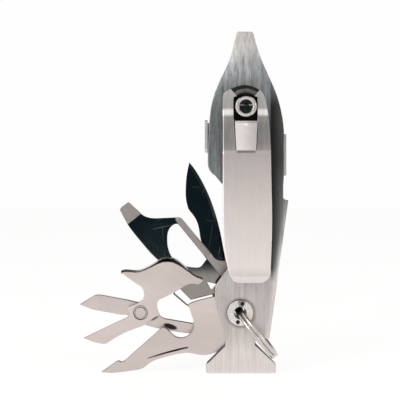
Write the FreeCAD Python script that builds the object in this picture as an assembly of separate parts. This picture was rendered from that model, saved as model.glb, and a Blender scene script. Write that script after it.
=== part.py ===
import FreeCAD, Part
import math
import os

# Compact pocket multi tool: a folded sheet frame carries four fold-out tools on
# one hollow pivot, a lever and stud squeeze two jaw leaves at the nose, and a
# split ring hangs in the pivot. Millimetres. X right, Y away from the viewer,
# Z up. The origin is the centre of the foot on the surface it stands on.

# ---------------------------------------------------------------- dimensions
SHEET = 1.0            # frame and leaf sheet thickness
HALF = 4.3             # outer face of the front sheet to the middle plane
YI = HALF - SHEET      # inner faces of the frame sheets
PIV_X, PIV_Z = -0.1, 17.0          # tool pivot axis, along Y
GRIND = 0.85           # width of the ground flats along the knife's edge
BORE = 1.65            # bore of the hollow pivot
POST_R = 2.35          # outside of the hollow pivot
TOOL_BORE = 2.41       # bore of the tools, a running fit on the pivot
HEAD_R, HEAD_T = 3.72, 0.5         # flanges of the pivot
HOLE_FIT = 0.03        # clearance of the pivot in the frame and washers
STUD_X, STUD_Z = 1.3, 73.9         # lever stud axis, along Y
NECK_R = 1.9
STUD_HEAD_R = 2.9
STUD_HOLE_R = 2.35     # oversize hole of the front leaf
Y_HOOK = (-3.2, -1.9)
Y_THUMB = (-1.75, -0.8)
Y_ARM = (-0.75, 0.2)
Y_OPENER = (0.35, 1.65)
Y_KNIFE = (1.8, 3.2)
RIVET_X, RIVET_Z = -27.97, 16.65   # scissors rivet axis, along Y
RING_R = 8.4           # split ring, centre line radius
WIRE_R = 0.55
RING_C = 7.6           # pivot axis to ring centre
RING_ANGLE = -51.8     # direction from the pivot to the ring centre, degrees
AX_LEVER_Y, AX_LEVER_Z = -5.8, 79.2   # lever's flip axis, along X
LEVER_T = 1.1
EYE_HALF = 3.33
SPINE_TOP = (13.47, 48.3)          # outer line of the spine
SPINE_BOT = (8.2, 9.6)
SPINE_R = 1.5          # outer bend radius of the spine
JAW_AX_Y, JAW_AX_Z = 4.8, 51.2     # flex line of the rear leaf

# Outlines in the X-Z plane. L is a run of straight lines, S a smooth curve.
FRONT_OUTLINE = [
    ('L', [(-0.25, 95.83), (2.92, 95.83)]),
    ('S', [(2.92, 95.83), (3.64, 95.50), (3.92, 94.83)]),
    ('S', [(3.92, 94.83), (4.31, 92.78), (5.06, 90.00), (5.97, 87.22), (7.14, 84.44), (8.33, 81.67), (9.56, 78.89), (10.53, 76.11), (11.25, 73.33), (11.75, 70.56), (12.08, 67.50)]),
    ('L', [(12.08, 67.50), (12.08, 55.28), (11.89, 52.22), (11.89, 49.06), (12.03, 48.14), (6.75, 9.39), (6.69, 9.17), (4.17, 9.17), (4.17, 8.47), (9.44, 3.19)]),
    ('S', [(9.44, 3.19), (9.75, 2.78), (9.86, 2.22)]),
    ('L', [(9.86, 2.22), (9.86, 0.83)]),
    ('S', [(9.86, 0.83), (9.64, 0.22), (9.03, 0.00)]),
    ('L', [(9.03, 0.00), (-8.75, 0.00)]),
    ('S', [(-8.75, 0.00), (-9.36, 0.22), (-9.58, 0.83)]),
    ('L', [(-9.58, 0.83), (-9.58, 2.22)]),
    ('S', [(-9.58, 2.22), (-9.47, 2.78), (-9.17, 3.33)]),
    ('L', [(-9.17, 3.33), (-5.14, 7.33)]),
    ('S', [(-5.14, 7.33), (-4.31, 8.17), (-4.08, 9.17), (-4.25, 10.83), (-5.00, 13.61), (-5.97, 16.39), (-6.75, 19.17), (-7.08, 21.39), (-7.06, 23.61), (-6.69, 25.00)]),
    ('L', [(-6.69, 25.00), (-3.47, 29.44)]),
    ('S', [(-3.47, 29.44), (-0.42, 33.33), (2.64, 36.39), (4.31, 39.44), (4.72, 42.78), (4.03, 45.83), (1.81, 47.64), (-0.69, 48.61)]),
    ('S', [(-0.69, 48.61), (-2.92, 50.28), (-5.00, 52.64)]),
    ('L', [(-5.00, 52.64), (-7.08, 55.14)]),
    ('S', [(-7.08, 55.14), (-8.42, 56.39), (-8.97, 57.64), (-9.08, 59.44), (-9.03, 62.22), (-8.83, 66.39), (-8.61, 70.56), (-8.06, 74.72), (-7.31, 77.50), (-6.28, 80.28), (-4.97, 83.06), (-3.64, 85.83), (-2.64, 88.61), (-1.86, 91.39), (-1.31, 93.89), (-0.86, 95.39)]),
    ('S', [(-0.86, 95.39), (-0.61, 95.72), (-0.25, 95.83)]),
]
HOOK_OUTLINE = [
    ('L', [(-14.60, 19.12), (-13.48, 19.71)]),
    ('S', [(-13.48, 19.71), (-11.25, 20.38), (-9.30, 20.86), (-7.06, 21.39)]),
    ('L', [(-7.06, 21.39), (-1.20, 22.22), (3.27, 16.78), (1.04, 12.03), (-2.31, 9.80)]),
    ('S', [(-2.31, 9.80), (-4.27, 7.84), (-5.67, 6.45), (-7.62, 5.55), (-9.85, 5.05), (-11.81, 5.16), (-14.04, 5.58), (-16.28, 5.53), (-18.51, 5.13), (-21.30, 4.41), (-23.82, 3.60), (-25.21, 2.87), (-26.47, 1.84), (-27.73, 1.17), (-29.96, 0.75), (-32.75, 0.36), (-35.82, 0.05)]),
    ('L', [(-35.82, 0.05), (-38.76, 0.25), (-34.71, 3.10)]),
    ('S', [(-34.71, 3.10), (-34.01, 3.32), (-33.31, 2.98)]),
    ('L', [(-33.31, 2.98), (-32.42, 3.32), (-22.14, 12.42)]),
    ('S', [(-22.14, 12.42), (-21.58, 12.76), (-20.88, 12.53), (-20.05, 11.86), (-19.07, 10.91), (-17.95, 10.10), (-16.56, 9.80), (-15.16, 10.08), (-14.04, 10.86), (-13.20, 12.03), (-12.87, 13.15), (-13.04, 14.54), (-13.60, 16.22), (-14.10, 17.76), (-14.60, 19.12)]),
]
HOOK_NICK = [
    ('S', [(-26.19, 4.05), (-22.42, 5.44), (-18.51, 6.56), (-14.46, 7.40)]),
    ('L', [(-14.46, 7.40), (-14.55, 7.01)]),
    ('S', [(-14.55, 7.01), (-18.51, 6.17), (-22.42, 5.02), (-26.19, 4.05)]),
]
ARM_OUTLINE = [
    ('L', [(-45.29, 18.81), (-41.20, 21.27)]),
    ('S', [(-41.20, 21.27), (-40.35, 21.52), (-39.22, 21.47), (-35.26, 20.76), (-32.44, 20.25), (-29.33, 19.52)]),
    ('S', [(-29.33, 19.52), (-26.51, 18.81), (-24.25, 17.26), (-22.55, 15.56), (-20.57, 14.74)]),
    ('L', [(-20.57, 14.74), (-13.23, 13.47), (-12.24, 16.27), (-10.40, 17.48), (-7.29, 17.60), (-0.51, 21.21), (3.44, 16.41), (0.05, 11.89)]),
    ('S', [(0.05, 11.89), (-5.03, 10.48), (-9.84, 10.25), (-14.08, 10.59), (-16.90, 10.93), (-20.29, 11.49), (-23.68, 12.17), (-26.79, 13.02)]),
    ('S', [(-26.79, 13.02), (-29.05, 13.70), (-30.74, 14.77), (-31.87, 15.84)]),
    ('L', [(-31.87, 15.84), (-33.85, 15.96), (-41.76, 17.37), (-45.29, 18.81)]),
]
THUMB_FACE = [
    ('S', [(-33.52, 28.20), (-32.34, 28.40), (-30.93, 28.26), (-29.53, 28.12), (-28.12, 28.26), (-26.71, 28.76), (-25.03, 29.52), (-23.06, 30.51), (-21.65, 31.01), (-20.25, 31.13), (-18.84, 30.93), (-17.44, 30.28), (-16.03, 29.44), (-14.62, 28.37), (-13.22, 27.25), (-11.81, 26.51), (-10.97, 26.23)]),
    ('S', [(-10.97, 26.23), (-10.46, 25.73), (-10.97, 25.00), (-12.09, 24.57)]),
    ('S', [(-12.09, 24.57), (-13.22, 24.85), (-14.34, 24.66), (-16.87, 23.31), (-19.69, 21.73), (-22.22, 20.52)]),
    ('S', [(-22.22, 20.52), (-23.12, 19.77), (-23.34, 18.53), (-23.06, 17.12), (-22.44, 15.83)]),
    ('S', [(-22.44, 15.83), (-23.90, 15.38), (-25.31, 14.48), (-26.71, 13.21)]),
    ('S', [(-26.71, 13.21), (-29.53, 12.17), (-32.34, 11.05), (-35.15, 9.53), (-37.12, 8.29)]),
    ('S', [(-37.12, 8.29), (-37.96, 7.90), (-39.09, 7.96), (-41.62, 8.57), (-43.92, 9.53)]),
    ('L', [(-43.92, 9.53), (-35.15, 13.75), (-31.49, 15.44)]),
    ('S', [(-31.49, 15.44), (-31.04, 16.11), (-31.33, 16.84), (-31.49, 17.68), (-31.21, 18.42)]),
    ('S', [(-31.21, 18.42), (-29.53, 19.09), (-28.12, 19.82), (-27.28, 20.78), (-27.08, 21.90), (-27.33, 23.14), (-28.12, 24.10)]),
    ('S', [(-28.12, 24.10), (-29.53, 25.00), (-30.93, 25.98), (-32.34, 27.02), (-33.52, 28.20)]),
]
CREST_IN = [(-33.48, 27.91), (-32.43, 28.22), (-31.02, 28.17), (-29.61, 28.03), (-28.20, 28.17), (-26.78, 28.68), (-25.09, 29.44), (-23.11, 30.43), (-21.70, 30.93), (-20.29, 31.05), (-18.88, 30.85), (-17.46, 30.20), (-16.05, 29.35), (-14.64, 28.28)]
CREST_OUT = [(-33.69, 28.25), (-32.58, 28.65), (-31.11, 28.59), (-29.69, 28.48), (-28.27, 28.65), (-26.96, 29.19), (-25.43, 29.92), (-23.33, 31.20), (-21.83, 31.97), (-20.33, 32.17), (-18.74, 31.97), (-17.21, 31.14), (-15.73, 29.98), (-14.37, 28.59)]
OPENER_OUTLINE = [
    ('L', [(-34.11, 45.61), (-33.54, 46.37), (-32.15, 47.42)]),
    ('S', [(-32.15, 47.42), (-31.64, 47.65), (-31.13, 47.37)]),
    ('L', [(-31.13, 47.37), (-28.29, 44.76)]),
    ('S', [(-28.29, 44.76), (-27.15, 43.85), (-25.45, 43.28), (-23.18, 43.16)]),
    ('L', [(-23.18, 43.16), (-18.07, 43.39)]),
    ('S', [(-18.07, 43.39), (-17.16, 43.39), (-16.36, 42.99)]),
    ('L', [(-16.36, 42.99), (-7.56, 32.43)]),
    ('S', [(-7.56, 32.43), (-6.25, 31.29), (-5.00, 31.01), (-3.87, 30.84), (-3.44, 29.59), (-4.15, 28.28)]),
    ('L', [(-4.15, 28.28), (-3.87, 25.05), (-0.46, 21.64), (4.65, 16.24), (0.11, 11.13), (-5.00, 13.69), (-7.84, 21.50), (-13.86, 19.94), (-16.93, 23.06), (-23.18, 31.29)]),
    ('S', [(-23.18, 31.29), (-25.16, 33.17), (-27.44, 35.78), (-29.71, 38.51), (-31.84, 41.38)]),
    ('L', [(-31.84, 41.38), (-34.11, 45.61)]),
]
OPENER_HOLE = [
    ('S', [(-17.21, 41.23), (-17.95, 41.55), (-18.80, 41.26), (-19.77, 40.38), (-20.34, 39.19), (-20.54, 37.54), (-20.45, 35.55), (-20.05, 33.85), (-19.31, 32.26), (-18.07, 30.84), (-16.36, 29.87), (-14.66, 29.36), (-12.95, 29.14), (-11.53, 29.19), (-10.63, 29.87)]),
    ('L', [(-10.63, 29.87), (-9.43, 31.52), (-10.40, 32.88), (-17.21, 41.23)]),
]
OPENER_NOTCH = [
    ('L', [(-9.26, 25.08), (-6.54, 24.42), (-8.13, 22.83), (-9.26, 25.08)]),
]
KNIFE_OUTLINE = [
    ('S', [(-14.31, 59.11), (-12.68, 57.03), (-11.25, 54.74), (-9.82, 52.05), (-8.39, 48.91), (-7.48, 46.45), (-6.62, 43.76), (-5.82, 40.79), (-5.19, 38.04), (-4.67, 35.18), (-4.22, 32.89), (-3.82, 30.89)]),
    ('L', [(-3.82, 30.89), (-1.53, 24.32), (3.05, 19.74), (3.62, 16.03), (-0.39, 11.45), (-3.82, 14.60), (-5.10, 22.03), (-5.96, 25.75)]),
    ('S', [(-5.96, 25.75), (-8.10, 30.04), (-10.11, 34.15), (-11.14, 37.47), (-11.54, 40.04), (-12.16, 42.21), (-12.97, 43.70), (-13.77, 44.73), (-14.51, 45.65)]),
    ('S', [(-14.51, 45.65), (-15.08, 47.59), (-15.34, 49.48), (-15.34, 51.76), (-15.17, 54.48), (-14.82, 56.80), (-14.31, 59.11)]),
]
KNIFE_GRIND = [(-14.31, 59.11), (-12.68, 57.03), (-11.25, 54.74), (-9.82, 52.05), (-8.39, 48.91), (-7.48, 46.45), (-6.62, 43.76), (-5.82, 40.79), (-5.19, 38.04), (-4.67, 35.18), (-4.22, 32.89), (-3.82, 30.89)]
LEVER_OUTLINE = [
    ('S', [(-4.69, 77.73), (-3.60, 78.50), (-1.28, 79.59), (1.05, 80.03), (3.37, 79.59), (5.55, 78.34), (6.40, 77.02)]),
    ('S', [(6.40, 77.02), (6.95, 75.11), (7.33, 72.93), (7.66, 69.65), (7.93, 64.73), (8.15, 56.53), (8.31, 48.33), (8.40, 42.87), (8.31, 37.40), (8.15, 32.49), (7.99, 29.21)]),
    ('S', [(7.99, 29.21), (7.66, 27.29), (6.62, 26.20), (4.87, 25.68)]),
    ('L', [(4.87, 25.68), (-0.59, 25.68)]),
    ('S', [(-0.59, 25.68), (-2.07, 26.26), (-3.00, 27.57), (-3.60, 29.37), (-4.15, 32.10), (-4.58, 34.94), (-4.83, 37.95)]),
    ('S', [(-4.83, 37.95), (-4.97, 42.87), (-5.02, 48.33), (-5.02, 62.00), (-5.02, 74.56), (-4.99, 76.20), (-4.69, 77.73)]),
]
REAR_OUTLINE = [
    ('L', [(-3.6, 1.0), (3.8, 1.0), (3.8, 9.3), (6.6, 9.3), (8.2, 9.6), (13.47, 48.3), (12.6, 49.0), (11.7, 51.0), (5.6, 51.0)]),
    ('S', [(5.6, 51.0), (5.3, 46.0), (5.1, 42.4), (4.6, 39.4), (2.9, 36.2), (-0.1, 32.9), (-3.1, 29.2)]),
    ('L', [(-3.1, 29.2), (-6.3, 24.8)]),
    ('S', [(-6.3, 24.8), (-6.65, 23.5), (-6.68, 21.4), (-6.35, 19.2), (-5.6, 16.5), (-4.6, 13.6), (-3.85, 10.8), (-3.6, 9.2)]),
    ('L', [(-3.6, 9.2), (-3.6, 1.0)]),
]
JAW_OUTLINE = [
    ('L', [(0.1, 95.6), (2.7, 95.6)]),
    ('S', [(2.7, 95.6), (3.3, 95.3), (3.6, 94.7)]),
    ('S', [(3.6, 94.7), (4.0, 92.7), (4.75, 89.9), (5.65, 87.1), (6.8, 84.3), (8.0, 81.5), (9.25, 78.7), (10.2, 76.0), (10.95, 73.2), (11.45, 70.5), (11.75, 67.4)]),
    ('L', [(11.75, 67.4), (11.75, 44.0)]),
    ('S', [(11.75, 44.0), (11.2, 40.2), (8.6, 38.4), (6.2, 40.2), (5.5, 44.0)]),
    ('L', [(5.5, 44.0), (5.5, 50.0)]),
    ('S', [(5.5, 50.0), (4.2, 52.0), (1.6, 53.0), (-1.2, 53.6)]),
    ('L', [(-1.2, 53.6), (-3.6, 55.0), (-6.3, 57.4)]),
    ('S', [(-6.3, 57.4), (-7.9, 58.6), (-8.6, 60.2), (-8.75, 62.2), (-8.5, 66.4), (-8.25, 70.6), (-7.7, 74.6), (-6.95, 77.4), (-5.95, 80.1), (-4.6, 82.9), (-3.3, 85.7), (-2.3, 88.5), (-1.5, 91.3), (-0.9, 93.8), (-0.5, 95.2)]),
    ('S', [(-0.5, 95.2), (-0.25, 95.5), (0.1, 95.6)]),
]
# screwdriver bevel line and the start line of the arm bevel
TIP_P, TIP_Q = (-32.09, 41.18), (-27.66, 44.73)
BAND_P, BAND_Q = (-17.92, 42.23), (-9.40, 31.81)

os.makedirs("parts", exist_ok=True)
V = FreeCAD.Vector


def path_wire(path, y=0.0):
    """Closed wire of straight runs and smooth curves in the plane Y = y."""
    edges = []
    first = last = None
    for kind, pts in path:
        vs = [V(p[0], y, p[1]) for p in pts]
        if last is not None:
            vs[0] = last
        if first is None:
            first = vs[0]
        if kind == 'L':
            for a, b in zip(vs, vs[1:]):
                if (b - a).Length > 1e-4:
                    edges.append(Part.LineSegment(a, b).toShape())
        else:
            s = Part.BSplineCurve()
            s.interpolate(vs)
            edges.append(s.toShape())
        last = vs[-1]
    if (last - first).Length > 1e-4:
        edges.append(Part.LineSegment(last, first).toShape())
    return Part.Wire(edges)


def plate(path, y0, y1):
    return Part.Face(path_wire(path, y0)).extrude(V(0, y1 - y0, 0))


def poly(pts, y0, y1):
    return plate([('L', list(pts) + [pts[0]])], y0, y1)


def rod(x, z, r, y0, y1):
    return Part.makeCylinder(r, y1 - y0, V(x, y0, z), V(0, 1, 0))


def tube(x, z, ro, ri, y0, y1):
    return rod(x, z, ro, y0, y1).cut(rod(x, z, ri, y0 - 1, y1 + 1))


def side_prism(pts, x0, x1):
    """Profile in Y-Z, drawn through points, extruded along X."""
    vs = [V(x0, p[0], p[1]) for p in pts]
    w = Part.makePolygon(vs + [vs[0]])
    return Part.Face(w).extrude(V(x1 - x0, 0, 0))


def side_band(outer, inner, x0, x1):
    """Bent sheet profile in Y-Z between two lists of (kind, points)."""
    def seg(chain):
        out = []
        last = None
        for kind, pts in chain:
            vs = [V(x0, p[0], p[1]) for p in pts]
            if last is not None:
                vs[0] = last
            if kind == 'L':
                for a, b in zip(vs, vs[1:]):
                    out.append(Part.LineSegment(a, b).toShape())
            else:
                s = Part.BSplineCurve()
                s.interpolate(vs)
                out.append(s.toShape())
            last = vs[-1]
        return out, V(x0, *chain[0][1][0]), last
    eo, so, lo = seg(outer)
    ei, si, li = seg(inner)
    edges = eo + [Part.LineSegment(lo, si).toShape()] + ei + [Part.LineSegment(li, so).toShape()]
    w = Part.Wire(Part.__sortEdges__(edges))
    return Part.Face(w).extrude(V(x1 - x0, 0, 0))


def biggest(shape):
    return max(shape.Solids, key=lambda s: s.Volume)


def closed(shape):
    """True where the faces meet edge to edge all round when meshed."""
    vs, ts = shape.tessellate(0.02)
    key = [(round(v.x, 4), round(v.y, 4), round(v.z, 4)) for v in vs]
    count = {}
    for t in ts:
        k = [key[i] for i in t]
        if k[0] == k[1] or k[1] == k[2] or k[0] == k[2]:
            continue
        for a, b in ((0, 1), (1, 2), (2, 0)):
            e = (k[a], k[b]) if k[a] < k[b] else (k[b], k[a])
            count[e] = count.get(e, 0) + 1
    return all(n == 2 for n in count.values())


def soften(shape, y, c, keep=None):
    """Small chamfer round the face edges that lie in the plane Y = y."""
    ids = []
    for e in shape.Edges:
        b = e.BoundBox
        if abs(b.YMin - y) < 1e-4 and abs(b.YMax - y) < 1e-4 and b.DiagonalLength > 0.05:
            if keep is None or keep(e):
                ids.append(e)
    for size in (c, c * 0.6):
        try:
            s = shape.makeChamfer(size, ids)
            if s.isValid() and s.Solids and 0.7 * shape.Volume < s.Volume < shape.Volume and closed(s):
                return biggest(s)
        except Exception:
            pass
    good = shape
    for e in ids:
        try:
            match = [k for k in good.Edges if k.CenterOfMass.isEqual(e.CenterOfMass, 0.2)
                     and abs(k.Length - e.Length) < 0.6 and abs(k.BoundBox.YMin - y) < 1e-4
                     and abs(k.BoundBox.YMax - y) < 1e-4]
            if not match:
                continue
            s = good.makeChamfer(c * 0.6, match[:1])
            if s.isValid() and s.Solids and 0.7 * good.Volume < s.Volume < good.Volume and closed(s):
                good = biggest(s)
        except Exception:
            pass
    print("softened edge by edge", round(shape.Volume - good.Volume, 3))
    return good


def export(name, shape):
    if not shape.isValid():
        shape = shape.removeSplitter()
        if not shape.isValid():
            shape.fix(1e-4, 1e-4, 1e-3)
    n = len(shape.Solids)
    b = shape.BoundBox
    if not closed(shape):
        print("NOT CLOSED", name)
    print("%-16s solids %d valid %s vol %8.3f x %.2f..%.2f y %.2f..%.2f z %.2f..%.2f" % (
        name, n, shape.isValid(), shape.Volume, b.XMin, b.XMax, b.YMin, b.YMax, b.ZMin, b.ZMax))
    if n == 1:
        shape = shape.Solids[0]
    shape.exportStep("parts/%s.step" % name)


# ---------------------------------------------------------------- front frame
# One sheet from the nose leaf, past the C-shaped relief that lets the leaf
# spring, to the lower plate, the neck and the flared foot. The foot is turned
# back as a base flange, and the right edge is turned back as the spine.
profile = side_band(
    [('L', [(HALF, 0.0), (-HALF + 0.8, 0.0)]),
     ('S', [(-HALF + 0.8, 0.0), (-HALF + 0.23, 0.23), (-HALF, 0.8)]),
     ('L', [(-HALF, 0.8), (-HALF, 79.5)]),
     ('S', [(-HALF, 79.5), (-4.12, 83.5), (-3.5, 87.6), (-2.5, 91.6), (-1.15, 95.83)])],
    [('L', [(-0.45, 95.83), (-0.75, 94.2)]),
     ('S', [(-0.75, 94.2), (-1.6, 91.2), (-2.52, 87.4), (-3.12, 83.3), (-YI, 79.5)]),
     ('L', [(-YI, 79.5), (-YI, 1.5)]),
     ('S', [(-YI, 1.5), (-YI + 0.14, 1.14), (-YI + 0.5, SHEET)]),
     ('L', [(-YI + 0.5, SHEET), (HALF, SHEET)])],
    -16, 18)
front = profile.common(plate(FRONT_OUTLINE, -8, 8))
front = biggest(front)

# spine: quarter bend and web, drawn square to its sloping line
dx, dz = SPINE_TOP[0] - SPINE_BOT[0], SPINE_TOP[1] - SPINE_BOT[1]
ln = math.hypot(dx, dz)
tx, tz = dx / ln, dz / ln          # along the spine, upward
nx, nz = tz, -tx                   # outward


def sp(u, y, s=0.0):
    """u mm outward from the outer line, s mm up along it."""
    return V(SPINE_BOT[0] + nx * u + tx * s, y, SPINE_BOT[1] + nz * u + tz * s)


a45 = math.sqrt(0.5)
ro, ri = SPINE_R, SPINE_R - SHEET
cy = -HALF + ro
cu = -ro
bend = Part.Wire([
    Part.LineSegment(sp(cu - 0.05, -HALF), sp(cu, -HALF)).toShape(),
    Part.Arc(sp(cu, -HALF), sp(cu + ro * a45, cy - ro * a45), sp(0, cy)).toShape(),
    Part.LineSegment(sp(0, cy), sp(0, YI)).toShape(),
    Part.LineSegment(sp(0, YI), sp(-SHEET, YI)).toShape(),
    Part.LineSegment(sp(-SHEET, YI), sp(-SHEET, cy)).toShape(),
    Part.Arc(sp(-SHEET, cy), sp(cu + ri * a45, cy - ri * a45), sp(cu, -YI)).toShape(),
    Part.LineSegment(sp(cu, -YI), sp(cu - 0.05, -YI)).toShape(),
    Part.LineSegment(sp(cu - 0.05, -YI), sp(cu - 0.05, -HALF)).toShape()])
spine = Part.Face(bend).extrude(V(tx * ln, 0, tz * ln))
TABS = (6.0, 30.0)                 # tenons through the rear sheet, from the spine's foot
for s0 in TABS:
    spine = spine.fuse(Part.Face(Part.makePolygon([
        sp(0, YI - 0.1, s0), sp(-SHEET, YI - 0.1, s0), sp(-SHEET, YI - 0.1, s0 + 3.5),
        sp(0, YI - 0.1, s0 + 3.5), sp(0, YI - 0.1, s0)])).extrude(V(0, SHEET + 0.1, 0)))
front = front.fuse(spine)
front = front.cut(rod(PIV_X, PIV_Z, POST_R + HOLE_FIT, -9, 0))
front = front.cut(rod(STUD_X, STUD_Z, STUD_HOLE_R, -9, 0))
front = biggest(front.removeSplitter())
front = soften(front, -HALF, 0.22)
export("front_frame", front)

# ---------------------------------------------------------------- rear frame
rear = plate(REAR_OUTLINE, YI, HALF)
for s0 in TABS:
    rear = rear.cut(Part.Face(Part.makePolygon([
        sp(0.5, YI - 0.1, s0), sp(-SHEET, YI - 0.1, s0), sp(-SHEET, YI - 0.1, s0 + 3.5),
        sp(0.5, YI - 0.1, s0 + 3.5), sp(0.5, YI - 0.1, s0)])).extrude(V(0, SHEET + 1, 0)))
rear = rear.cut(rod(PIV_X, PIV_Z, POST_R + HOLE_FIT, 0, 9))
JAW_RIVETS = ((8.4, 41.6), (8.9, 47.2))
for x, z in JAW_RIVETS:
    rear = rear.cut(rod(x, z, 1.06, 0, 9))
rear = biggest(rear)
rear = soften(rear, HALF, 0.2)
export("rear_frame", rear)

# ---------------------------------------------------------------- rear jaw leaf
# Spring leaf riveted on the outside of the rear sheet, with two side guards
# turned forward beside the front leaf.
jprof = side_band(
    [('L', [(HALF + SHEET, 36.0), (HALF + SHEET, 79.5)]),
     ('S', [(HALF + SHEET, 79.5), (5.1, 83.5), (4.35, 87.6), (3.2, 91.6), (1.75, 95.6)])],
    [('L', [(0.95, 95.6), (1.3, 94.0)]),
     ('S', [(1.3, 94.0), (2.25, 91.1), (3.35, 87.2), (4.1, 83.2), (HALF, 79.5)]),
     ('L', [(HALF, 79.5), (HALF, 36.0)])],
    -16, 18)
jaw = biggest(jprof.common(plate(JAW_OUTLINE, 0.5, 9)))
jaw = jaw.cut(rod(STUD_X, STUD_Z, NECK_R + 0.05, 0, 9))
for x, z in JAW_RIVETS:
    jaw = jaw.cut(rod(x, z, 1.0, 0, 9))
jaw = soften(biggest(jaw), HALF + SHEET, 0.2)
L_X0, L_X1, L_Z0, L_Z1 = -9.94, -9.12, 61.9, 70.6
R_X0, R_X1, R_Z0, R_Z1 = 12.18, 13.75, 55.4, 67.4
jaw = jaw.fuse(Part.makeBox(L_X1 - L_X0 + 1.6, SHEET, L_Z1 - L_Z0, V(L_X0, HALF, L_Z0)))
jaw = jaw.fuse(Part.makeBox(R_X1 - R_X0 + 2.0, SHEET, R_Z1 - R_Z0, V(R_X0 - 2.0, HALF, R_Z0)))
ear_l = Part.makeBox(L_X1 - L_X0, 2 * HALF - 0.4, L_Z1 - L_Z0, V(L_X0, -HALF + 0.5, L_Z0))
ear_r = Part.makeBox(R_X1 - R_X0, 2 * HALF - 0.4, R_Z1 - R_Z0, V(R_X0, -HALF + 0.3, R_Z0))


def round_ear(e, x_sign):
    ids = []
    for k in e.Edges:
        b = k.BoundBox
        if b.YMax < -HALF + 1.0 and b.XLength > 0.4 and b.ZLength < 1e-4:
            ids.append(k)
    try:
        return e.makeFillet(0.7, ids)
    except Exception:
        return e


jaw = biggest(jaw.fuse(round_ear(ear_l, -1)))
jaw = biggest(jaw.fuse(round_ear(ear_r, 1)))
print("jaw with guards", jaw.Volume, jaw.isValid(), len(jaw.Solids))
for x0, z0, z1 in ((L_X0, L_Z0, L_Z1), (R_X1, R_Z0, R_Z1)):
    # rounded outside of the guard's bend
    s = 1 if x0 < 0 else -1
    r = 0.75
    c0 = V(x0, HALF + SHEET, z0 - 1)
    f = Part.Face(Part.Wire([
        Part.LineSegment(V(x0 - s, HALF + SHEET + 1, z0 - 1), V(x0 + s * r, HALF + SHEET + 1, z0 - 1)).toShape(),
        Part.LineSegment(V(x0 + s * r, HALF + SHEET + 1, z0 - 1), V(x0 + s * r, HALF + SHEET, z0 - 1)).toShape(),
        Part.Arc(V(x0 + s * r, HALF + SHEET, z0 - 1),
                 V(x0 + s * r * (1 - math.sqrt(0.5)), HALF + SHEET - r * (1 - math.sqrt(0.5)), z0 - 1),
                 V(x0, HALF + SHEET - r, z0 - 1)).toShape(),
        Part.LineSegment(V(x0, HALF + SHEET - r, z0 - 1), V(x0 - s, HALF + SHEET - r, z0 - 1)).toShape(),
        Part.LineSegment(V(x0 - s, HALF + SHEET - r, z0 - 1), V(x0 - s, HALF + SHEET + 1, z0 - 1)).toShape()]))
    jaw = biggest(jaw.cut(f.extrude(V(0, 0, z1 - z0 + 2))))
print("jaw closed", closed(jaw))
export("rear_jaw", jaw)

# two flush-bodied rivets hold the leaf's root
riv = []
for x, z in JAW_RIVETS:
    b = rod(x, z, 1.0, YI + 0.05, HALF + SHEET)
    h = Part.makeCone(1.7, 1.25, 0.45, V(x, HALF + SHEET, z), V(0, 1, 0))
    riv.append(b.fuse(h).removeSplitter().Solids[0])
export("jaw_rivets", Part.makeCompound(riv))

# ---------------------------------------------------------------- hollow pivot
post = tube(PIV_X, PIV_Z, POST_R, BORE, -HALF, HALF + HEAD_T)
head = tube(PIV_X, PIV_Z, HEAD_R, BORE, -HALF - HEAD_T, -HALF)
ang = math.atan2(7.9, 2.0)
for sgn in (1, -1):
    head = head.cut(rod(PIV_X + sgn * 2.62 * math.cos(ang), PIV_Z + sgn * 2.62 * math.sin(ang),
                        0.58, -HALF - 2, -HALF - 0.12))
post = biggest(post.fuse(head).removeSplitter())
rim = [e for e in post.Edges if abs(e.BoundBox.YMax + HALF + HEAD_T) < 1e-4
       and (e.BoundBox.XLength > 5 or 3.0 < e.BoundBox.XLength < 3.5)]
post = biggest(post.makeChamfer(0.14, rim))
export("pivot_post", post)

nut = tube(PIV_X, PIV_Z, HEAD_R, POST_R, HALF, HALF + HEAD_T)
for sgn in (1, -1):
    nut = nut.cut(rod(PIV_X + sgn * 3.05, PIV_Z, 0.42, HALF + 0.1, HALF + 2))
rim = [e for e in nut.Edges if abs(e.BoundBox.YMin - HALF - HEAD_T) < 1e-4 and e.BoundBox.XLength > 5]
nut = biggest(nut.makeChamfer(0.14, rim))
export("pivot_nut", nut)


def washer(name, ro, y0, y1):
    export(name, tube(PIV_X, PIV_Z, ro, POST_R + HOLE_FIT, y0, y1))


washer("washer_front", 4.1, -YI, Y_HOOK[0])
washer("washer_hook", 3.9, Y_HOOK[1], Y_THUMB[0])
washer("spacer_scissors", 3.9, Y_THUMB[0], Y_ARM[0])
washer("washer_opener", 3.9, Y_ARM[1], Y_OPENER[0])
washer("washer_knife", 3.9, Y_OPENER[1], Y_KNIFE[0])
washer("washer_rear", 4.1, Y_KNIFE[1], YI)

# ---------------------------------------------------------------- hook
hub_bore = rod(PIV_X, PIV_Z, TOOL_BORE, -9, 9)


def with_hub(shape, r, ys):
    return biggest(shape.fuse(rod(PIV_X, PIV_Z, r, *ys)).cut(hub_bore).removeSplitter())


hook = with_hub(plate(HOOK_OUTLINE, *Y_HOOK), 5.3, Y_HOOK)
hook = soften(hook, Y_HOOK[0], 0.16)
hook = biggest(hook.cut(plate(HOOK_NICK, Y_HOOK[0] - 0.5, Y_HOOK[0] + 0.4)))
export("hook_opener", hook)

# ---------------------------------------------------------------- scissors
arm = with_hub(plate(ARM_OUTLINE, *Y_ARM), 4.5, Y_ARM)
# slot that holds the leaf spring's root
SP_A, SP_B = (-11.3, 15.6), (-18.55, 21.85)      # spring root and tip, X-Z
sdx, sdz = SP_B[0] - SP_A[0], SP_B[1] - SP_A[1]
sl = math.hypot(sdx, sdz)
sux, suz = sdx / sl, sdz / sl
snx, snz = -suz, sux


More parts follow.
